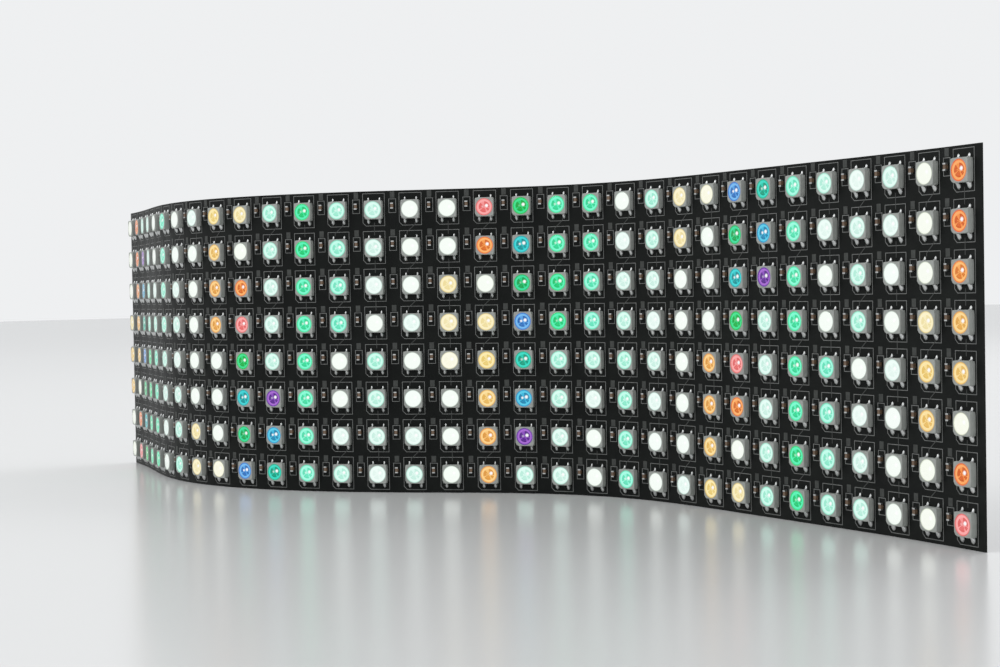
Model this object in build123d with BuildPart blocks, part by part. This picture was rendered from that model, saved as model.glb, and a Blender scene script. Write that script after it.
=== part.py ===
from build123d import *
from math import atan2, cos, degrees, pi, radians
import os

# Flexible panel of RGB light packages that stands on its long edge in an S-shaped curve.
# Millimetres and degrees. X runs along the chord of the curve, to the right for someone who faces
# the lights, Z is up from the surface that the panel stands on, and the lights look towards -Y.
# The origin is on that surface, in the middle of the panel's footprint.

# Grid of light packages
columns = 32
rows = 8
column_pitch = 10.0
row_pitch = 10.0
side_margin = 5.0  # centre of an outer column to the end of the board
bottom_margin = 5.0  # centre of the lowest row to the edge that the board stands on
top_margin = 5.0

# Flexible board: copper and film laminated into one sheet
board_thickness = 0.3
solder_reach = 0.3  # the board stays flat this far past each side of a soldered housing

# Bends of the standing board, from its left end: where the middle of the bend lies along the board,
# how far the bend reaches to each side of it, and by how much it turns, anticlockwise from above
left_tip_middle = 18.0
left_tip_reach = 52.0
left_tip_turn = -26.0
swell_middle = 69.0
swell_reach = 119.0
swell_turn = 84.0
hollow_middle = 193.0
hollow_reach = 57.0
hollow_turn = -51.0
right_tip_middle = 306.0
right_tip_reach = 41.0
right_tip_turn = -6.0
smallest_turn = 0.1  # a gap that would turn less than this is straight

# Light package: a square white housing with a round clear window
housing_width = 5.0
housing_depth = 1.5
window_diameter = 4.0
window_depth = 0.1
window_sides = 8  # the round window has few sides, because there are so many

# Chip capacitor beside each package, longer side upright
capacitor_width = 0.8
capacitor_length = 1.6
capacitor_depth = 0.8
capacitor_rise = 1.0  # its centre is this much above the centre of its package
capacitor_solder = 0.03  # film of solder between a capacitor and the board

# Tinned pads on the back, where the supply and data wires go on
pad_width = 3.0
pad_height = 2.2
pad_depth = 0.15
pad_pitch = 4.0
data_pad_count = 3
power_pad_count = 2

board_height = bottom_margin + (rows - 1) * row_pitch + top_margin
flat_length = housing_width + 2 * solder_reach
gap_length = column_pitch - flat_length
package_depth = housing_depth + window_depth
bends = [
    (left_tip_middle, left_tip_reach, left_tip_turn),
    (swell_middle, swell_reach, swell_turn),
    (hollow_middle, hollow_reach, hollow_turn),
    (right_tip_middle, right_tip_reach, right_tip_turn),
]

os.makedirs("parts", exist_ok=True)


def gap_turns():
    """Turn of the board in each gap between two columns: a bend is strongest in its middle."""
    turns = [0.0] * (columns - 1)
    for middle, reach, turn in bends:
        shares = []
        for gap in range(columns - 1):
            distance = side_margin + (gap + 0.5) * column_pitch - middle
            shares.append(cos(pi / 2 * distance / reach) ** 2 if abs(distance) < reach else 0.0)
        if any(shares):
            turns = [old + turn * share / sum(shares) for old, share in zip(turns, shares)]
    return turns


def straight(start, along, length):
    """Straight stretch of board."""
    return Line(start, start + along * length)


def front_line(start, along):
    """Front face of the board seen from above: a flat behind each column, an arc in each gap.

    Gives the whole line, the flats, and the stretch of board to the left of each flat.
    """
    margin_length = side_margin - flat_length / 2
    with BuildLine() as line:
        stretches = [straight(start, along, margin_length)]
        flats = [straight(stretches[0] @ 1, along, flat_length)]
        for turn in gap_turns():
            if abs(turn) < smallest_turn:
                gap = straight(flats[-1] @ 1, flats[-1] % 1, gap_length)
            else:
                gap = JernArc(flats[-1] @ 1, flats[-1] % 1, gap_length / radians(abs(turn)), turn)
            stretches.append(gap)
            flats.append(straight(gap @ 1, gap % 1, flat_length))
        straight(flats[-1] @ 1, flats[-1] % 1, margin_length)
    return line.wires()[0], flats, stretches


def front_plane(stretch, height, rise=0.0):
    """Plane on the front of the board at the middle of a stretch: X along the board, Y up."""
    along = stretch % 0.5
    outward = along.rotate(Axis.Z, -90)
    foot = stretch @ 0.5 + outward * rise
    return Plane(origin=(foot.X, foot.Y, height), x_dir=along, z_dir=outward)


def back_plane(stretch, height):
    """Plane on the back of the board at the middle of a stretch: Y up, Z away from the board."""
    front = front_plane(stretch, height, -board_thickness)
    return Plane(origin=front.origin, x_dir=-front.x_dir, z_dir=-front.z_dir)


# The board is laid out once to find its chord, once more to find the middle of its footprint,
# and then in its place
trial_line = front_line(Vector(0, 0), Vector(1, 0))[0]
chord = trial_line @ 1 - trial_line @ 0
left_heading = Vector(1, 0).rotate(Axis.Z, -degrees(atan2(chord.Y, chord.X)))
level_line = front_line(Vector(0, 0), left_heading)[0]
middle = level_line.bounding_box().center() + Vector(0, (board_thickness - package_depth) / 2)
board_line, flats, stretches = front_line(Vector(0, 0) - middle, left_heading)

with BuildPart() as flex_board:
    with BuildSketch():
        with BuildLine():
            add(board_line)
            offset(amount=board_thickness, side=Side.LEFT)
        make_face()
    extrude(amount=board_height)
flex_board.part.label = "flex_board"
export_step(flex_board.part, "parts/flex_board.step")

for row in range(rows):
    name = str(row + 1)
    height = board_height - top_margin - row * row_pitch

    with BuildPart() as housings:
        with BuildSketch(*[front_plane(flat, height) for flat in flats]):
            Rectangle(housing_width, housing_width)
        extrude(amount=housing_depth)
    housings.part.label = "led_housings_row_" + name
    export_step(housings.part, "parts/led_housings_row_" + name + ".step")

    with BuildPart() as windows:
        with BuildSketch(*[front_plane(flat, height, housing_depth) for flat in flats]):
            RegularPolygon(window_diameter / 2, window_sides, False, 180 / window_sides)
        extrude(amount=window_depth)
    windows.part.label = "led_windows_row_" + name
    export_step(windows.part, "parts/led_windows_row_" + name + ".step")

    with BuildPart() as capacitors:
        seats = [
            front_plane(stretch, height + capacitor_rise, capacitor_solder)
            for stretch in stretches
        ]
        with BuildSketch(*seats):
            Rectangle(capacitor_width, capacitor_length)
        extrude(amount=capacitor_depth)
    capacitors.part.label = "capacitors_row_" + name
    export_step(capacitors.part, "parts/capacitors_row_" + name + ".step")

pad_groups = {
    "input_pads": (0, data_pad_count),
    "power_pads": (columns // 2, power_pad_count),
    "output_pads": (columns - 1, data_pad_count),
}
for name, (column, count) in pad_groups.items():
    with BuildPart() as pads:
        with BuildSketch(back_plane(flats[column], board_height / 2)):
            with GridLocations(pad_pitch, pad_pitch, 1, count):
                Rectangle(pad_width, pad_height)
        extrude(amount=pad_depth)
    pads.part.label = name
    export_step(pads.part, "parts/" + name + ".step")
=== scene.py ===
import math

import bmesh
import bpy
import numpy as np
from mathutils import Matrix, Vector


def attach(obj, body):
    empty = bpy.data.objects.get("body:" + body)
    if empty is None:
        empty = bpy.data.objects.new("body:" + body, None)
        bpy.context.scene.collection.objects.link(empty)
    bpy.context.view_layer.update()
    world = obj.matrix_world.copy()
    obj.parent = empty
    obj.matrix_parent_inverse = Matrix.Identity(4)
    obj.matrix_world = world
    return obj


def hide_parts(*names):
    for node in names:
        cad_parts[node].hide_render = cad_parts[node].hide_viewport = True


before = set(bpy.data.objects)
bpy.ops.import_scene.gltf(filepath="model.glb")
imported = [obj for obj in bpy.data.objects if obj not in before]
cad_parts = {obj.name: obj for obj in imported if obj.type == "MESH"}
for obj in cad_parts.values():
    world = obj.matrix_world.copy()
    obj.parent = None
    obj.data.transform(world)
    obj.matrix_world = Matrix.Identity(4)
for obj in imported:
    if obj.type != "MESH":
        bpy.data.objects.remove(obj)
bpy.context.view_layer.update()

# Bent panel of 8 rows of 32 lit packages. Sizes of the pieces are in millimetres, and their heights
# count from the face of the board that they sit on. Blender works in metres.
MM = 0.001
ROWS = 8
COLUMNS = 32
UP = Vector((0, 0, 1))
ROUND_POINTS = 32  # points of a ring

# Blocks have a slightly smaller top, as moulded and sawn pieces do: it is this share of their
# width smaller on each side, over this share of their height
BLOCK_INSET = 0.06
BLOCK_CHAMFER = 0.12

# Housing of a package: square, with a seam half way up and a notch at its lower left corner
HOUSING_HALF = 2.5
HOUSING_DEPTH = 1.5
HOUSING_SQUARENESS = 16  # the higher, the sharper the corners
FOOT_INSET = 0.05
SEAM_HEIGHT = 0.66
SEAM_GROOVE = 0.04
TOP_INSET = 0.03
TOP_CHAMFER = 0.09
NOTCH = 0.62

# Cup in the housing: radius of its mouth and of its floor
CUP_MOUTH = 2.08
CUP_LIP = 0.05
RIM_WIDTH = 0.2  # flat ring of the housing's top round the lip
CUP_FLOOR = 1.48
FLOOR_HEIGHT = 1.18
WALL_SWELL = 0.06  # half way down, the wall is wider than a plain cone by this
FLOOR_SHARES = (0.85, 0.45)  # rings of the floor, as shares of its radius

# Clear fill of the cup. Its side and bottom lie a little behind the cup's own.
WINDOW_RADIUS = 2.04
WINDOW_TOP = 1.6
WINDOW_EDGE = 0.02  # its edge lies this far below the housing's top
WINDOW_SHARES = (0.92, 0.72, 0.45)  # rings of its dome, as shares of its radius
BEHIND_MOUTH = 0.02
BEHIND_FLOOR = 0.04

# On the cup's floor: metal pads as sectors from one angle to another and from one radius on, the
# driver die from corner to corner, and three dies that give the light
PADS = ((-8, 88, 0.15), (130, 202, 0.2), (218, 290, 0.3), (312, 342, 0.7))
PAD_RADIUS = 1.45
PAD_RISE = 0.02
PAD_STEPS = 6
DRIVER_DIE = (-0.38, -1.02, 0.34, -0.5)
DIE_HEIGHT = 0.08
RED_DIE = (0.12, 0.22)
GREEN_DIE = (0.64, 0.32)
BLUE_DIE = (-0.45, 0.1)
LIGHT_DIES = ((BLUE_DIE, 0.15), (GREEN_DIE, 0.18), (RED_DIE, 0.14))  # middle and half width

# Bond wires from the driver die to the light dies and to two pads
WIRES = (
    ((-0.25, -0.55), BLUE_DIE),
    ((0.0, -0.55), RED_DIE),
    ((0.24, -0.55), GREEN_DIE),
    ((-0.28, -0.95), (-1.0, -0.55)),
    ((0.26, -0.9), (1.1, -0.62)),
)
WIRE_RADIUS = 0.02
WIRE_SIDES = 3
WIRE_STEPS = 4
WIRE_FOOT = 0.07  # height of its ends above the floor
WIRE_ARCH = 0.1  # rise of its middle above its ends

# Levels of light in the cup. At the full one a surface shows the light's colour as it is.
LIP_LEVEL = 0.3
MOUTH_LEVEL = 0.5
FULL_LEVEL = 0.75
GAP_LEVEL = 0.66  # floor between the pads, dies and wires
PAD_LEVEL = 0.36
DRIVER_LEVEL = 0.42

# Leads: how far from the middle they are, and the flat tab that comes out of the housing's side,
# from inside it to outside
LEAD_OFFSET = 1.55
TAB_INSIDE = 0.1
TAB_OUTSIDE = 0.12
TAB_HEIGHTS = (0.3, 0.56)
TAB_SHARE = 0.8  # share of the solder's width

# Solder of a lead: half width, reach past the housing, height at the housing
LOWER_SOLDER = (0.54, 1.25, 0.85)
UPPER_SOLDER = (0.3, 0.85, 0.5)
SOLDER_INSIDE = 0.1  # it starts this far inside the housing
SOLDER_SUNK = 0.02  # it reaches this far into the board
SOLDER_STEPS = 8
SOLDER_SIDES = 6
SOLDER_FOOT = 0.84  # width at its two ends, as a share of the widest
SOLDER_SLOPE = 0.72  # share of its height that falls evenly, while the rest follows its round end
SOLDER_ROUNDNESS = 2.6  # the higher, the flatter its back
ROUND_START = 0.55  # where its round end starts, and how long that is, as shares of its length
ROUND_LENGTH = 0.46

# Chip capacitor, longer side upright: ceramic block and metal caps
CHIP = (0.38, 0.5, 0.76)  # half width, half length, depth
CAP = (0.4, 0.45, 0.8, 0.79)  # half width, inner end, outer end, depth

# Solder pad on the back: half width, half height and depth. Its profile has a share of its size at
# each share of its depth.
BACK_PAD = (1.5, 1.1, 0.15)
BACK_PAD_PROFILE = ((1, 0), (1, 0.25), (0.96, 0.5), (0.86, 0.76), (0.6, 0.93), (0.25, 1))
BACK_PAD_SQUARENESS = 6

# Print: outline of a package with its lower left corner cut off, box round a capacitor, and a plain
# field above that box. It is sunk a little into the board, because the board bends away under it.
INK_WIDTH = 0.13
INK_HEIGHT = 0.03
INK_SUNK = 0.05
OUTLINE_LEFT = -3.15
OUTLINE_RIGHT = 2.85
OUTLINE_TOP = 4.35
OUTLINE_BOTTOM = -4.2
OUTLINE_CUT = 0.85
BOX_HALF = 0.95
BOX_REACH = 1.8
FIELD_HALF = 0.62
FIELD_BOTTOM = 2.05
FIELD_TOP = 3.75

# Data trace under the film, from a package down to the next one
TRACE_WIDTH = 0.16
TRACE_HEIGHT = 0.035
TRACE_TOP = -3.3
TRACE_BOTTOM = -6.7
TRACE_END = 0.7  # upright stretch at each end
TRACE_LEAN = 1.1  # a slanted trace starts and ends this far from the middle

# Picture of lights, each a place in the sweep of colours below. It runs along the data chain, which
# goes down the odd columns and up the even ones. It comes in groups of four packages and repeats
# after thirty groups.
GROUP = 4
GROUPS = 30
SWEEP_GROUPS = 16
FIRST_GROUP = 4  # the group that the sweep starts with
# The plain groups stand in the sweep's order. Each other group repeats one before it, which is
# ODD_BACK groups back from an odd group and EVEN_BACK groups back from an even one.
PLAIN_GROUPS = (*range(14), 15)
ODD_BACK = 17
EVEN_BACK = 13
# First and last lights of the sweep: violet and blue take turns with green at the start, and pink and
# orange with white at the end
FIRST_LIGHTS = (0.63, 0.05, 0.15, 0.22, 0.11, 0.27, 0.19, 0.30, 0.44, 0.44, 0.38, 0.38)
LAST_LIGHTS = (0.76, 0.79, 0.80, 0.70, 0.70, 1.00, 0.92, 0.71, 0.80, 0.82, 0.85, 0.88, 0.88)
# Between them the lights get paler from group to group, up to white, and a little deeper along each
# group. They swing to and fro with a swing that dies away, and there is a pale spell round one light.
PALE_START = 0.45
PALER_EACH = 0.0235
WHITE_PLACE = 0.70
DEEPER_ALONG = 0.025
SWING = 0.085
SWING_GROUPS = (4, 11)
SPELL = 0.16
SPELL_MIDDLE = 15
SPELL_REACH = 2.5
# The outer columns at each end go further through the sweep, from this place for white up to orange
OUTER_COLUMNS = 2
OUTER_WHITE = 0.72
OUTER_STRETCH = 1.25
OUTER_END = 0.93


# Materials

def linear(red, green, blue):
    """A colour of 0 to 255 as it is seen on a screen, as linear light with alpha."""
    seen = [c / 255 for c in (red, green, blue)]
    return [c / 12.92 if c <= 0.04045 else ((c + 0.055) / 1.055) ** 2.4 for c in seen] + [1]


def grey(value):
    return (value, value, value, 1)


# Sweep of colours: violet, blue, green, mint, white, orange, pink. Each entry has its place, how far
# the light drowns the marks in the cup, how strongly the blue die shines, and the light's colour.
SWEEP = (
    (0.05, 0.0, 0.3, linear(166, 104, 208)),
    (0.12, 0.0, 1.0, linear(108, 196, 246)),
    (0.18, 0.0, 0.8, linear(58, 212, 222)),
    (0.24, 0.0, 0.3, linear(50, 224, 184)),
    (0.29, 0.1, 0.1, linear(54, 224, 140)),
    (0.34, 0.1, 0.1, linear(70, 236, 160)),
    (0.40, 0.1, 0.4, linear(96, 248, 196)),
    (0.46, 0.15, 0.5, linear(132, 252, 214)),
    (0.52, 0.25, 0.5, linear(168, 253, 230)),
    (0.60, 0.35, 0.3, linear(210, 255, 241)),
    (0.65, 0.5, 0.1, linear(234, 255, 248)),
    (0.69, 1.0, 0.0, linear(247, 255, 251)),
    (0.76, 0.9, 0.0, linear(254, 253, 234)),
    (0.82, 0.4, 0.0, linear(253, 236, 176)),
    (0.87, 0.25, 0.0, linear(254, 218, 148)),
    (0.91, 0.15, 0.0, linear(254, 188, 112)),
    (0.95, 0.1, 0.0, linear(251, 150, 82)),
    (0.98, 0.2, 0.1, linear(248, 130, 90)),
    (1.00, 0.3, 0.2, linear(252, 170, 169)),
)
STOPS, DROWNING, BLUE_SHINE, LIGHTS = zip(*SWEEP)
# From the full level down to this one a surface gets deeper in colour, up to this power
DEEP_LEVEL = MOUTH_LEVEL
DEEP_POWER = 2
# How much light is left at each level
DIM_LEVELS = (0.0, LIP_LEVEL, MOUTH_LEVEL, FULL_LEVEL)
DIM_SHARES = (0.0, 0.5, 0.84, 1.0)
# How far a die makes the cup white with light, and the share of that in which it is all white
GREEN_REACH = 0.62
BLUE_REACH = 0.45
SPOT_SHARE = 0.3
# Light that comes through the plastic round the cup: where it ends, and the power of its colour
GLOW_END = 2.34
GLOW_POWER = 2.5
# Size of the square that the UV map of a cup covers, with the cup in its middle
CUP_MAP = 5.0
# Values between which a noise changes a surface from dark to light
GRAIN = (0.3, 0.7)
FILM_GRAIN = (0.35, 0.7)


class Shading:
    """A material made of nodes around one Principled shader. A source is an output of a node or a
    plain value."""

    def __init__(self, name, **sources):
        self.material = bpy.data.materials.new(name)
        self.material.use_nodes = True
        self.tree = self.material.node_tree
        self.shader = self.tree.nodes["Principled BSDF"]
        self.shade(**sources)

    def shade(self, **sources):
        """Feeds inputs of the shader."""
        for socket, source in sources.items():
            self.feed(source, self.shader.inputs[socket.replace("_", " ")])

    def feed(self, source, target):
        if isinstance(source, bpy.types.NodeSocket):
            self.tree.links.new(source, target)
        else:
            target.default_value = source

    def node(self, kind, sources, **settings):
        made = self.tree.nodes.new(kind)
        for key, value in settings.items():
            setattr(made, key, value)
        for socket, source in sources.items():
            self.feed(source, made.inputs[socket])
        return made

    def noise(self, scale, detail):
        where = self.node("ShaderNodeTexCoord", {}).outputs["Object"]
        sources = {"Vector": where, "Scale": scale, "Detail": detail}
        return self.node("ShaderNodeTexNoise", sources).outputs["Fac"]

    def ramp(self, factor, positions, colours):
        made = self.node("ShaderNodeValToRGB", {"Fac": factor})
        elements = made.color_ramp.elements
        while len(elements) < len(positions):
            elements.new(1)
        for element, position, colour in zip(elements, positions, colours):
            element.position = position
            element.color = colour
        return made.outputs["Color"]

    def mapped(self, value, start, end, low, high, kind="LINEAR"):
        """Goes from low to high while the value goes from start to end."""
        sources = {"Value": value, "From Min": start, "From Max": end, "To Min": low, "To Max": high}
        return self.node("ShaderNodeMapRange", sources, interpolation_type=kind).outputs["Result"]

    def mixed(self, share, a, b, kind="RGBA", blend="MIX"):
        """Two colours mixed, or two numbers where the kind is FLOAT."""
        sources = {"Factor": share, "A": a, "B": b}
        return self.node("ShaderNodeMix", sources, data_type=kind, blend_type=blend).outputs["Result"]

    def number(self, operation, *sources):
        """A number worked out from others."""
        made = self.node("ShaderNodeMath", dict(enumerate(sources)), operation=operation)
        return made.outputs["Value"]

    def deepened(self, colour, power):
        """A colour raised to a power."""
        return self.node("ShaderNodeGamma", {"Color": colour, "Gamma": power}).outputs["Color"]

    def bump(self, scale, detail, depth, strength):
        """Unevenness from a noise, with its depth in millimetres."""
        sources = {"Height": self.noise(scale, detail), "Distance": depth * MM, "Strength": strength}
        self.shade(Normal=self.node("ShaderNodeBump", sources).outputs["Normal"])


def light_map(shading):
    """The place in the sweep and the level of light, as the UV map has them."""
    uv = shading.node("ShaderNodeUVMap", {}, uv_map="light").outputs["UV"]
    parts = shading.node("ShaderNodeSeparateXYZ", {"Vector": uv})
    return parts.outputs["X"], parts.outputs["Y"]


def light_round(shading, middle, near, far):
    """Light round a place in the cup: 1 up to the near distance, and 0 from the far one on."""
    uv = shading.node("ShaderNodeUVMap", {}, uv_map="cup").outputs["UV"]
    x, y = middle
    sources = {0: uv, 1: (x / CUP_MAP + 0.5, y / CUP_MAP + 0.5, 0)}
    distance = shading.node("ShaderNodeVectorMath", sources, operation="DISTANCE").outputs["Value"]
    return shading.mapped(distance, near / CUP_MAP, far / CUP_MAP, 1, 0, "SMOOTHSTEP")


def lit_material(name, base):
    """A surface in the lit cup: its colour gets deeper where it is darker, and white by a die."""
    shading = Shading(name, Base_Color=base, Roughness=0.6, Specular_IOR_Level=0.0, Emission_Strength=1.0)
    place, level = light_map(shading)
    drowning = shading.ramp(place, STOPS, [grey(value) for value in DROWNING])
    level = shading.mixed(drowning, level, FULL_LEVEL, kind="FLOAT")
    power = shading.mapped(level, DEEP_LEVEL, FULL_LEVEL, DEEP_POWER, 1)
    light = shading.deepened(shading.ramp(place, STOPS, LIGHTS), power)
    dim = shading.ramp(level, DIM_LEVELS, [grey(value) for value in DIM_SHARES])
    light = shading.mixed(1.0, light, dim, blend="MULTIPLY")
    shine = shading.ramp(place, STOPS, [grey(value) for value in BLUE_SHINE])
    spot = light_round(shading, BLUE_DIE, SPOT_SHARE * BLUE_REACH, BLUE_REACH)
    light = shading.mixed(shading.number("MULTIPLY", shine, spot), light, grey(1.0))
    spot = light_round(shading, GREEN_DIE, SPOT_SHARE * GREEN_REACH, GREEN_REACH)
    shading.shade(Emission_Color=shading.mixed(spot, light, grey(1.0)))
    return shading.material


def housing_material():
    """White moulded plastic that lets deep-coloured light through round the cup's mouth."""
    dark = (0.34, 0.36, 0.335, 1)
    light = (0.40, 0.415, 0.39, 1)
    under_glow = grey(0.03)
    shading = Shading("housing_plastic", Roughness=0.5, Emission_Strength=0.8)
    plastic = shading.ramp(shading.noise(scale=900, detail=4), GRAIN, (dark, light))
    glow = light_round(shading, (0, 0), CUP_MOUTH, GLOW_END)
    shading.shade(Base_Color=shading.mixed(glow, plastic, under_glow))
    shading.bump(scale=6000, detail=2, depth=0.01, strength=0.4)
    place = light_map(shading)[0]
    colour = shading.deepened(shading.ramp(place, STOPS, LIGHTS), GLOW_POWER)
    shading.shade(Emission_Color=shading.mixed(1.0, colour, glow, blend="MULTIPLY"))
    return shading.material


def window_material():
    """Clear silicone."""
    shading = Shading("clear_silicone", Base_Color=grey(1), Roughness=0.08, IOR=1.41)
    shading.shade(Specular_IOR_Level=0.12, Transmission_Weight=1)
    shading.bump(scale=700, detail=2, depth=0.02, strength=0.25)
    return shading.material


def board_material():
    """Black cover film over copper, with the brown film inside showing on the cut edges."""
    dark = (0.0045, 0.0055, 0.005, 1)
    light = (0.008, 0.0095, 0.0085, 1)
    brown = (0.05, 0.027, 0.012, 1)
    shading = Shading("black_cover_film", Specular_IOR_Level=0.13)
    mottle = shading.noise(scale=160, detail=5)
    film = shading.ramp(mottle, FILM_GRAIN, (dark, light))
    normal = shading.node("ShaderNodeNewGeometry", {}).outputs["Normal"]
    upward = shading.node("ShaderNodeSeparateXYZ", {"Vector": normal}).outputs["Z"]
    shading.shade(Base_Color=shading.mixed(shading.number("ABSOLUTE", upward), film, brown))
    rubbed = shading.noise(scale=420, detail=4)
    shading.shade(Roughness=shading.mapped(rubbed, 0, 1, low=0.42, high=0.6))
    shading.bump(scale=1100, detail=3, depth=0.02, strength=0.5)
    return shading.material


def metal_material(name, dark, light, roughness, scale):
    """Tin or solder with an uneven skin."""
    shading = Shading(name, Metallic=1.0)
    grain = shading.noise(scale, detail=3)
    shading.shade(Base_Color=shading.ramp(grain, GRAIN, (dark, light)))
    shading.shade(Roughness=shading.mapped(grain, 0, 1, *roughness))
    shading.bump(scale=3 * scale, detail=2, depth=0.02, strength=0.4)
    return shading.material


def dull_material(name, dark, light, roughness, scale):
    """Ink, ceramic or film: two close colours mixed by a fine noise."""
    shading = Shading(name, Roughness=roughness)
    grain = shading.noise(scale, detail=4)
    shading.shade(Base_Color=shading.ramp(grain, GRAIN, (dark, light)))
    shading.bump(scale=2 * scale, detail=2, depth=0.01, strength=0.5)
    return shading.material


# Shapes

class Shape:
    """Points, faces and levels of light of one piece. A skin is the number of a material."""

    def __init__(self):
        self.points = []
        self.levels = []
        self.faces = []
        self.skins = []

    def add(self, points, level=0.0):
        """Adds points, and gives the number of the first."""
        first = len(self.points)
        self.points.extend(tuple(point) for point in points)
        self.levels.extend([level] * len(points))
        return first

    def face(self, corners, skin=0):
        self.faces.append(tuple(corners))
        self.skins.append(skin)

    def join(self, rings, skins=None, levels=None, capped=True):
        """Joins rings of points, and closes the first and the last one where it is capped.

        Skins has a number for each band between two rings, and levels has one for each ring.
        """
        count = len(rings[0])
        skins = skins or [0] * (len(rings) - 1)
        levels = levels or [0.0] * len(rings)
        firsts = [self.add(ring, level) for ring, level in zip(rings, levels)]
        for low, high, skin in zip(firsts, firsts[1:], skins):
            for i in range(count):
                j = (i + 1) % count
                self.face((low + i, low + j, high + j, high + i), skin)
        if capped:
            self.face([firsts[0] + i for i in reversed(range(count))], skins[0])
            self.face([firsts[-1] + i for i in range(count)], skins[-1])

    def block(self, low, high, skin=0, level=0.0):
        """Box with a slightly smaller top."""
        (x0, y0, z0), (x1, y1, z1) = low, high
        inset = BLOCK_INSET * min(x1 - x0, y1 - y0)
        chamfer = BLOCK_CHAMFER * (z1 - z0)
        rings = []
        for z, cut in ((z0, 0), (z1 - chamfer, 0), (z1, inset)):
            rings.append([
                (x0 + cut, y0 + cut, z), (x1 - cut, y0 + cut, z),
                (x1 - cut, y1 - cut, z), (x0 + cut, y1 - cut, z),
            ])
        self.join(rings, [skin] * 2, [level] * 3)

    def wire(self, path, radius, sides, skin, level):
        """Thin wire along a path that is nowhere upright."""
        rings = []
        for place, point in enumerate(path):
            ahead = Vector(path[min(place + 1, len(path) - 1)])
            behind = Vector(path[max(place - 1, 0)])
            along = (ahead - behind).normalized()
            across = along.cross(UP).normalized()
            over = across.cross(along)
            ring = []
            for i in range(sides):
                turn = 2 * math.pi * (i + 0.5) / sides
                offset = across * math.cos(turn) + over * math.sin(turn)
                ring.append(Vector(point) + offset * radius)
            rings.append(ring)
        self.join(rings, [skin] * (len(path) - 1), [level] * len(path))


def circle(radius, height):
    turns = [2 * math.pi * i / ROUND_POINTS for i in range(ROUND_POINTS)]
    return [(radius * math.cos(turn), radius * math.sin(turn), height) for turn in turns]


def soft_square(half, height, notch=0.0, squareness=HOUSING_SQUARENESS):
    """Square with rounded corners, as points in the same directions as those of a circle. A notch
    takes off the lower left corner."""
    ring = []
    for i in range(ROUND_POINTS):
        turn = 2 * math.pi * i / ROUND_POINTS
        x = math.cos(turn)
        y = math.sin(turn)
        reach = half / (abs(x) ** squareness + abs(y) ** squareness) ** (1 / squareness)
        if notch and x < 0 and y < 0:
            reach = min(reach, (2 * half - notch) / (abs(x) + abs(y)))
        ring.append((x * reach, y * reach, height))
    return ring


def housing_shape():
    """Moulded housing with a seam, a chamfered top and a tapered cup whose wall and floor are lit."""
    top = HOUSING_DEPTH
    outside = [
        soft_square(HOUSING_HALF - FOOT_INSET, 0),
        soft_square(HOUSING_HALF, SEAM_HEIGHT - SEAM_GROOVE),
        soft_square(HOUSING_HALF - SEAM_GROOVE, SEAM_HEIGHT),
        soft_square(HOUSING_HALF, SEAM_HEIGHT + SEAM_GROOVE),
        soft_square(HOUSING_HALF - TOP_INSET, top - TOP_CHAMFER, NOTCH),
        soft_square(HOUSING_HALF - TOP_INSET - TOP_CHAMFER, top, NOTCH),
        circle(CUP_MOUTH + CUP_LIP + RIM_WIDTH, top),
    ]
    mouth = [
        circle(CUP_MOUTH + CUP_LIP, top),
        circle(CUP_MOUTH, top - CUP_LIP),
    ]
    inside = [
        circle((CUP_MOUTH + CUP_FLOOR) / 2 + WALL_SWELL, (top + FLOOR_HEIGHT) / 2),
        circle(CUP_FLOOR, FLOOR_HEIGHT),
    ]
    floor = [circle(CUP_FLOOR * share, FLOOR_HEIGHT) for share in FLOOR_SHARES]
    skins = [0] * (len(outside) + len(mouth) - 1) + [1] * (len(inside) + len(floor))
    levels = [0.0] * len(outside) + [LIP_LEVEL, MOUTH_LEVEL]
    levels += [FULL_LEVEL] * len(inside) + [GAP_LEVEL] * len(floor)
    shape = Shape()
    shape.join(outside + mouth + inside + floor, skins, levels)
    return shape


def window_shape():
    """Clear fill of the cup, slightly domed."""
    top = HOUSING_DEPTH
    rings = [
        circle(CUP_FLOOR + BEHIND_FLOOR, FLOOR_HEIGHT - BEHIND_FLOOR),
        circle(CUP_MOUTH + BEHIND_MOUTH, top - CUP_LIP),
        circle(WINDOW_RADIUS, top - WINDOW_EDGE),
    ]
    for share in WINDOW_SHARES:
        rings.append(circle(WINDOW_RADIUS * share, top + (WINDOW_TOP - top) * (1 - share ** 2)))
    shape = Shape()
    shape.join(rings)
    return shape


def cup_shape():
    """Pads on the cup's floor with the dies and the bond wires on them."""
    shape = Shape()
    floor = FLOOR_HEIGHT
    for start, end, inner in PADS:
        turns = [math.radians(start + (end - start) * i / PAD_STEPS) for i in range(PAD_STEPS + 1)]
        edge = [(PAD_RADIUS * math.cos(turn), PAD_RADIUS * math.sin(turn)) for turn in turns]
        edge += [(inner * math.cos(turn), inner * math.sin(turn)) for turn in (turns[-1], turns[0])]
        rings = [[(x, y, floor + rise) for x, y in edge] for rise in (0, PAD_RISE)]
        shape.join(rings, levels=[PAD_LEVEL] * 2)
    x0, y0, x1, y1 = DRIVER_DIE
    top = floor + DIE_HEIGHT
    shape.block((x0, y0, floor), (x1, y1, top), level=DRIVER_LEVEL)
    for (x, y), half in LIGHT_DIES:
        shape.block((x - half, y - half, floor), (x + half, y + half, top), level=GAP_LEVEL)
    for (start_x, start_y), (end_x, end_y) in WIRES:
        path = []
        for step in range(WIRE_STEPS + 1):
            share = step / WIRE_STEPS
            path.append((
                start_x + (end_x - start_x) * share,
                start_y + (end_y - start_y) * share,
                floor + WIRE_FOOT + WIRE_ARCH * math.sin(math.pi * share),
            ))
        shape.wire(path, WIRE_RADIUS, WIRE_SIDES, 1, GAP_LEVEL)
    return shape


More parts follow.
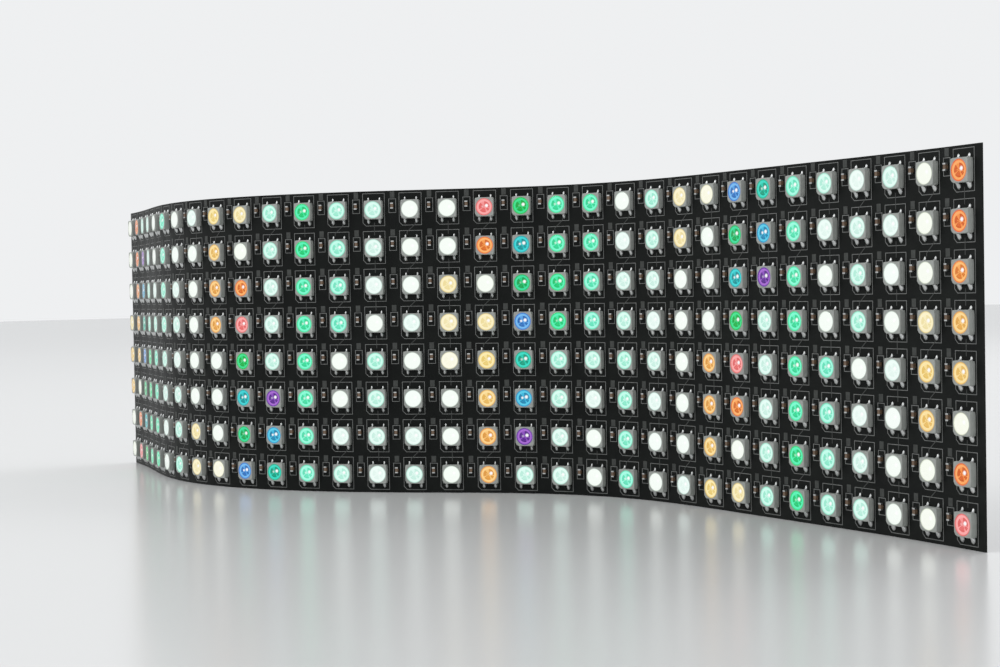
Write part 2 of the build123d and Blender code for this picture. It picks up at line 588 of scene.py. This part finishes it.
def solder_blob(shape, middle, direction, half, reach, height):
    """Solder over one lead: it slopes down from the housing's side to the round end of its pad."""
    start = HOUSING_HALF - SOLDER_INSIDE
    top, base = [], []
    for step in range(SOLDER_STEPS):
        share = step / (SOLDER_STEPS - 1)
        end = math.sqrt(1 - (max(share - ROUND_START, 0) / ROUND_LENGTH) ** 2)
        wide = half * (SOLDER_FOOT + (1 - SOLDER_FOOT) * math.sin(math.pi * share)) * end
        tall = height * (SOLDER_SLOPE * (1 - share) + (1 - SOLDER_SLOPE) * end)
        y = direction * (start + (reach + SOLDER_INSIDE) * share)
        for i in range(SOLDER_SIDES):
            side = 2 * i / (SOLDER_SIDES - 1) - 1
            z = tall * (1 - abs(side) ** SOLDER_ROUNDNESS) + SOLDER_SUNK
            top.append((middle + wide * side, y, z))
            base.append((middle + wide * side, y, -SOLDER_SUNK))
    above = shape.add(top)
    below = shape.add(base)
    upward = direction > 0
    for step in range(SOLDER_STEPS - 1):
        for i in range(SOLDER_SIDES - 1):
            a = step * SOLDER_SIDES + i
            quad = (a, a + 1, a + 1 + SOLDER_SIDES, a + SOLDER_SIDES)
            shape.face([above + c for c in (quad if upward else reversed(quad))])
            shape.face([below + c for c in (reversed(quad) if upward else quad)])
    rim = list(range(SOLDER_SIDES))
    rim += [step * SOLDER_SIDES + SOLDER_SIDES - 1 for step in range(1, SOLDER_STEPS)]
    rim += [(SOLDER_STEPS - 1) * SOLDER_SIDES + i for i in reversed(range(SOLDER_SIDES - 1))]
    rim += [step * SOLDER_SIDES for step in reversed(range(1, SOLDER_STEPS - 1))]
    for a, b in zip(rim, rim[1:] + rim[:1]):
        wall = (below + a, below + b, above + b, above + a)
        shape.face(wall if upward else reversed(wall))


def leads_shape():
    """Four leads: a flat tab out of the housing's side, under solder that runs down to its pad."""
    shape = Shape()
    bottom, top = TAB_HEIGHTS
    for direction, solder in ((-1, LOWER_SOLDER), (1, UPPER_SOLDER)):
        near = direction * (HOUSING_HALF - TAB_INSIDE)
        far = direction * (HOUSING_HALF + TAB_OUTSIDE)
        half = solder[0] * TAB_SHARE
        for middle in (-LEAD_OFFSET, LEAD_OFFSET):
            shape.block((middle - half, min(near, far), bottom), (middle + half, max(near, far), top), 1)
            solder_blob(shape, middle, direction, *solder)
    return shape


def capacitor_shape():
    """Ceramic chip with a metal cap on each end."""
    shape = Shape()
    x, y, depth = CHIP
    shape.block((-x, -y, 0.0), (x, y, depth))
    x, inner, outer, depth = CAP
    for low, high in ((-outer, -inner), (inner, outer)):
        shape.block((-x, low, 0.0), (x, high, depth), 1)
    return shape


def back_pad_shape():
    """Tinned pad on the back: rounded corners under a low dome of solder."""
    half_width, half_height, depth = BACK_PAD
    rings = []
    for share, height in BACK_PAD_PROFILE:
        square = soft_square(share, height * depth, squareness=BACK_PAD_SQUARENESS)
        rings.append([(x * half_width, y * half_height, z) for x, y, z in square])
    shape = Shape()
    shape.join(rings)
    return shape


def raised_line(points, width, height, closed):
    """Flat line through points, with mitred corners."""
    path = [Vector(point) for point in points]
    count = len(path)
    rings = []
    for i, point in enumerate(path):
        before = path[i - 1] if closed or i > 0 else point - (path[1] - path[0])
        after = path[(i + 1) % count] if closed or i < count - 1 else point + (point - path[i - 1])
        enter = (point - before).normalized()
        leave = (after - point).normalized()
        normal = Vector((-enter.y - leave.y, enter.x + leave.x)).normalized()
        reach = width / 2 / normal.dot(Vector((-enter.y, enter.x)))
        left = point + normal * reach
        right = point - normal * reach
        rings.append([(*left, -INK_SUNK), (*right, -INK_SUNK), (*right, height), (*left, height)])
    if closed:
        rings.append(rings[0])
    shape = Shape()
    shape.join(rings, capped=not closed)
    return shape


def outline_shape():
    """Printed outline round a package."""
    points = [
        (OUTLINE_LEFT + OUTLINE_CUT, OUTLINE_BOTTOM),
        (OUTLINE_RIGHT, OUTLINE_BOTTOM),
        (OUTLINE_RIGHT, OUTLINE_TOP),
        (OUTLINE_LEFT, OUTLINE_TOP),
        (OUTLINE_LEFT, OUTLINE_BOTTOM + OUTLINE_CUT),
    ]
    return raised_line(points, INK_WIDTH, INK_HEIGHT, True)


def box_shape():
    """Printed box round a capacitor."""
    bottom = [(x, -BOX_REACH) for x in (-BOX_HALF, 0, BOX_HALF)]
    top = [(x, BOX_REACH) for x in (BOX_HALF, 0, -BOX_HALF)]
    return raised_line(bottom + top, INK_WIDTH, INK_HEIGHT, True)


def field_shape():
    """Plain printed field above a capacitor's box."""
    shape = Shape()
    shape.block((-FIELD_HALF, FIELD_BOTTOM, -INK_SUNK), (FIELD_HALF, FIELD_TOP, INK_HEIGHT))
    return shape


def trace_shape(lean):
    """Data trace from a package down to the next one."""
    points = [
        (lean, TRACE_TOP),
        (lean, TRACE_TOP - TRACE_END),
        (-lean, TRACE_BOTTOM + TRACE_END),
        (-lean, TRACE_BOTTOM),
    ]
    return raised_line(points, TRACE_WIDTH, TRACE_HEIGHT, False)


# Seats: where the packages, capacitors and pads sit, read from the CAD nodes in metres

SAME_POINT = 1e-6  # corners this near to each other are one
LEAN = 0.1  # an upright face's normal rises or falls by less than this
FRONT = -1  # the sides of the board, by the way that they look along Y
BACK = 1


def solids_of(node):
    """Corners and faces of each separate solid of a CAD node. A face is its normal and its area.

    What is found is kept in dicts, because their order is the same in each run.
    """
    mesh = bmesh.new()
    mesh.from_mesh(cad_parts[node].data)
    bmesh.ops.remove_doubles(mesh, verts=mesh.verts, dist=SAME_POINT)
    left = dict.fromkeys(mesh.verts)
    solids = []
    while left:
        waiting = [left.popitem()[0]]
        island = []
        while waiting:
            vertex = waiting.pop()
            island.append(vertex)
            for edge in vertex.link_edges:
                other = edge.other_vert(vertex)
                if other in left:
                    del left[other]
                    waiting.append(other)
        faces = dict.fromkeys(face for vertex in island for face in vertex.link_faces)
        corners = [vertex.co.copy() for vertex in island]
        solids.append((corners, [(face.normal.copy(), face.calc_area()) for face in faces]))
    mesh.free()
    solids.sort(key=lambda solid: sum(corner.x for corner in solid[0]))
    return solids


def seat(corners, outward):
    """Frame on the board under a solid: X along the board, Y up, Z outwards."""
    middle = sum(corners, Vector()) / len(corners)
    foot = min((corner - middle).dot(outward) for corner in corners)
    along = Vector((-outward.y, outward.x, 0))
    axes = Matrix((along, UP, outward)).transposed().to_4x4()
    return Matrix.Translation(middle + outward * foot) @ axes


def flat_seats(node, side):
    """Seats of the solids of a node, each by its largest upright face on that side of the board."""
    seats = []
    for corners, faces in solids_of(node):
        upright = [(normal, area) for normal, area in faces if abs(normal.z) < LEAN]
        outer = [(normal, area) for normal, area in upright if normal.y * side > 0]
        outward = max(outer, key=lambda face: face[1])[0]
        seats.append(seat(corners, outward.normalized()))
    return seats


def capacitor_seats(node, packages):
    """Seats of the solids of a node, each by the face that looks most like its package's way."""
    seats = []
    for (corners, faces), package in zip(solids_of(node), packages):
        toward = package.to_3x3() @ UP
        outward = max((normal for normal, area in faces), key=lambda normal: normal.dot(toward))
        seats.append(seat(corners, outward.normalized()))
    return seats


# Pieces

SHARP_ANGLE = math.radians(35)


def make_piece(name, batches, materials, nodes=()):
    """One mesh object from batches, each a shape, its seats, and the place in the sweep at each seat.
    The object stands for the nodes."""
    points, faces, skins, light, cup = [], [], [], [], []
    for shape, seats, places in batches:
        local = np.array(shape.points) * MM
        for matrix, place in zip(seats, places):
            first = len(points)
            turned = local @ np.array(matrix.to_3x3()).T + np.array(matrix.translation)
            points.extend(map(tuple, turned))
            for face, skin in zip(shape.faces, shape.skins):
                faces.append(tuple(first + corner for corner in face))
                skins.append(skin)
                light.extend((place, shape.levels[corner]) for corner in face)
                cup.extend(shape.points[corner][:2] for corner in face)
    mesh = bpy.data.meshes.new(name)
    mesh.from_pydata(points, [], faces)
    for material in materials:
        mesh.materials.append(material)
    mesh.polygons.foreach_set("material_index", skins)
    mesh.polygons.foreach_set("use_smooth", [True] * len(faces))
    if any(any(shape.levels) for shape, seats, places in batches):
        for title, spots in (("light", np.array(light)), ("cup", np.array(cup) / CUP_MAP + 0.5)):
            layer = mesh.uv_layers.new(name=title)
            layer.data.foreach_set("uv", spots.astype(np.float32).ravel())
    mesh.set_sharp_from_angle(angle=SHARP_ANGLE)
    mesh.update()
    piece = bpy.data.objects.new(name, mesh)
    bpy.context.scene.collection.objects.link(piece)
    if nodes:
        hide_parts(*nodes)
    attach(piece, "root")


def sweep_place(row, column):
    """Place of a package in the sweep of colours, from 0 to 1."""
    step = row - 1 if column % 2 else ROWS - row
    group, step = divmod((ROWS * (column - 1) + step) % (GROUP * GROUPS), GROUP)
    if group not in PLAIN_GROUPS:
        group -= ODD_BACK if group % 2 else EVEN_BACK
    group = (group - FIRST_GROUP) % SWEEP_GROUPS
    count = GROUP * group + step
    left = GROUP * SWEEP_GROUPS - count
    if count < len(FIRST_LIGHTS):
        return FIRST_LIGHTS[count]
    if left <= len(LAST_LIGHTS):
        return LAST_LIGHTS[-left]
    place = PALE_START + PALER_EACH * group - DEEPER_ALONG * (step - (GROUP - 1) / 2)
    start, end = SWING_GROUPS
    if start <= group < end:
        swing = SWING * (end - group) / (end - start - 1)
        place += -swing if group % 2 else swing
    place += SPELL * math.exp(-(((count - SPELL_MIDDLE) / SPELL_REACH) ** 2))
    return min(place, WHITE_PLACE)


def sweep_places(row):
    """Places in the sweep along a row, with the outer columns nearer to orange."""
    places = [sweep_place(row, column) for column in range(1, COLUMNS + 1)]
    for i in range(-OUTER_COLUMNS, OUTER_COLUMNS):
        further = OUTER_WHITE + OUTER_STRETCH * (places[i] - WHITE_PLACE)
        places[i] = max(places[i], min(further, OUTER_END))
    return places


housing_skin = housing_material()
cup_skin = lit_material("lit_cup", grey(0.003))
wire_skin = lit_material("lit_wire", (0.05, 0.04, 0.02, 1))
window_skin = window_material()
board_skin = board_material()
solder_skin = metal_material(
    "solder", (0.46, 0.47, 0.47, 1), (0.64, 0.65, 0.64, 1),
    roughness=(0.22, 0.40), scale=500,
)
tin_skin = metal_material(
    "tinned_copper", (0.48, 0.48, 0.47, 1), (0.64, 0.64, 0.63, 1),
    roughness=(0.26, 0.44), scale=350,
)
ceramic_skin = dull_material(
    "capacitor_ceramic", (0.13, 0.08, 0.05, 1), (0.19, 0.125, 0.08, 1),
    roughness=0.5, scale=1500,
)
faint_ink_skin = dull_material(
    "faint_ink", (0.03, 0.033, 0.03, 1), (0.05, 0.054, 0.05, 1),
    roughness=0.6, scale=900,
)
ink_skin = dull_material(
    "white_ink", (0.16, 0.165, 0.16, 1), (0.24, 0.245, 0.235, 1),
    roughness=0.6, scale=900,
)
# The film over a trace is paler than the rest of the film: partly the copper under it, and partly a
# painted glint along the trace's ridge
trace_and_glint_skin = dull_material(
    "film_over_trace_and_painted_glint", (0.04, 0.043, 0.04, 1), (0.06, 0.064, 0.06, 1),
    roughness=0.3, scale=700,
)

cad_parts["flex_board"].data.materials.clear()
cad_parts["flex_board"].data.materials.append(board_skin)

back_pad = back_pad_shape()
for group in ("input", "power", "output"):
    seats = flat_seats(f"{group}_pads", BACK)
    batch = (back_pad, seats, [0.0] * len(seats))
    make_piece(f"tinned_{group}_pads", [batch], [tin_skin], [f"{group}_pads"])

housing = housing_shape()
window = window_shape()
cup = cup_shape()
leads = leads_shape()
capacitor = capacitor_shape()
outline = outline_shape()
box = box_shape()
field = field_shape()
straight_trace = trace_shape(0.0)
slanted_trace = trace_shape(TRACE_LEAN)
unlit = [0.0] * COLUMNS

for row in range(1, ROWS + 1):
    packages = flat_seats(f"led_housings_row_{row}", FRONT)
    capacitors = capacitor_seats(f"capacitors_row_{row}", packages)
    places = sweep_places(row)
    make_piece(
        f"lit_housings_row_{row}", [(housing, packages, places)],
        [housing_skin, cup_skin], [f"led_housings_row_{row}"],
    )
    make_piece(
        f"clear_windows_row_{row}", [(window, packages, places)],
        [window_skin], [f"led_windows_row_{row}"],
    )
    make_piece(
        f"cup_insides_row_{row}", [(cup, packages, places)],
        [cup_skin, wire_skin],
    )
    make_piece(
        f"leads_row_{row}", [(leads, packages, unlit)],
        [solder_skin, tin_skin],
    )
    make_piece(
        f"chip_capacitors_row_{row}", [(capacitor, capacitors, unlit)],
        [ceramic_skin, solder_skin], [f"capacitors_row_{row}"],
    )
    make_piece(
        f"printed_outlines_row_{row}", [(outline, packages, unlit), (box, capacitors, unlit)],
        [ink_skin],
    )
    make_piece(
        f"printed_fields_row_{row}", [(field, capacitors, unlit)],
        [faint_ink_skin],
    )
    if row < ROWS:
        make_piece(
            f"traces_row_{row}",
            [(straight_trace, packages[1::2], unlit), (slanted_trace, packages[0::2], unlit)],
            [trace_and_glint_skin],
        )


# Stage: floor, light and camera, in metres and degrees

FLOOR_SIZE = 8
FLOOR_COLOUR = (0.78, 0.78, 0.77, 1)

# Plain light on the object, and the backdrop that the camera, glass and gloss see
WORLD_COLOUR = (0.95, 0.97, 1.0, 1)
WORLD_STRENGTH = 0.7
BACKDROP_COLOUR = (0.86, 0.87, 0.88, 1)

# Lamps: place, size across and power. All look at one point.
LAMPS = {
    "key": ((-0.5, -0.9, 1.1), 0.7, 5),
    "fill": ((0.9, -0.5, 0.6), 0.8, 1.5),
    "rim": ((0.1, 0.9, 0.9), 0.7, 3),
}
LAMP_TARGET = Vector((0, 0, 0.04))

# Camera: where it stands, where it looks, how it is rolled, and its lens for a sensor of this width
CAMERA_PLACE = (0.3175, -0.2976, 0.0521)
CAMERA_YAW = -45.24
CAMERA_PITCH = -1.33
CAMERA_ROLL = -0.98
CAMERA_LENS = 60.75
SENSOR_WIDTH = 36
NEAREST_SEEN = 0.01


def make_floor():
    bpy.ops.mesh.primitive_plane_add(size=FLOOR_SIZE, location=(0, 0, 0))
    floor = bpy.context.object
    floor.name = "floor"
    shading = Shading("pale_floor", Base_Color=FLOOR_COLOUR, Roughness=0.22)
    floor.data.materials.append(shading.material)


def make_world():
    world = bpy.data.worlds.new("studio")
    bpy.context.scene.world = world
    world.use_nodes = True
    nodes = world.node_tree.nodes
    links = world.node_tree.links
    light = nodes["Background"]
    light.inputs["Color"].default_value = WORLD_COLOUR
    light.inputs["Strength"].default_value = WORLD_STRENGTH
    backdrop = nodes.new("ShaderNodeBackground")
    backdrop.inputs["Color"].default_value = BACKDROP_COLOUR
    path = nodes.new("ShaderNodeLightPath")
    seen = path.outputs["Is Camera Ray"]
    for ray in ("Is Transmission Ray", "Is Glossy Ray"):
        either = nodes.new("ShaderNodeMath")
        either.operation = "MAXIMUM"
        links.new(seen, either.inputs[0])
        links.new(path.outputs[ray], either.inputs[1])
        seen = either.outputs["Value"]
    mix = nodes.new("ShaderNodeMixShader")
    links.new(seen, mix.inputs["Fac"])
    links.new(light.outputs["Background"], mix.inputs[1])
    links.new(backdrop.outputs["Background"], mix.inputs[2])
    links.new(mix.outputs["Shader"], nodes["World Output"].inputs["Surface"])


def make_lamps():
    for name, (place, size, power) in LAMPS.items():
        lamp = bpy.data.lights.new(name, "AREA")
        lamp.shape = "DISK"
        lamp.size = size
        lamp.energy = power
        holder = bpy.data.objects.new(name, lamp)
        holder.location = place
        holder.rotation_euler = (LAMP_TARGET - Vector(place)).to_track_quat("-Z", "Y").to_euler()
        bpy.context.scene.collection.objects.link(holder)


def make_camera():
    yaw = math.radians(CAMERA_YAW)
    pitch = math.radians(CAMERA_PITCH)
    roll = math.radians(CAMERA_ROLL)
    ahead = Vector((math.sin(yaw) * math.cos(pitch), math.cos(yaw) * math.cos(pitch), math.sin(pitch)))
    level = Vector((math.cos(yaw), -math.sin(yaw), 0))
    upright = level.cross(ahead)
    right = level * math.cos(roll) + upright * math.sin(roll)
    above = upright * math.cos(roll) - level * math.sin(roll)
    axes = Matrix((right, above, -ahead)).transposed().to_4x4()
    camera = bpy.data.cameras.new("camera")
    camera.lens = CAMERA_LENS
    camera.sensor_width = SENSOR_WIDTH
    camera.clip_start = NEAREST_SEEN
    holder = bpy.data.objects.new("camera", camera)
    holder.matrix_world = Matrix.Translation(CAMERA_PLACE) @ axes
    bpy.context.scene.collection.objects.link(holder)
    bpy.context.scene.camera = holder


make_floor()
make_world()
make_lamps()
make_camera()
bpy.context.scene.view_settings.view_transform = "Standard"
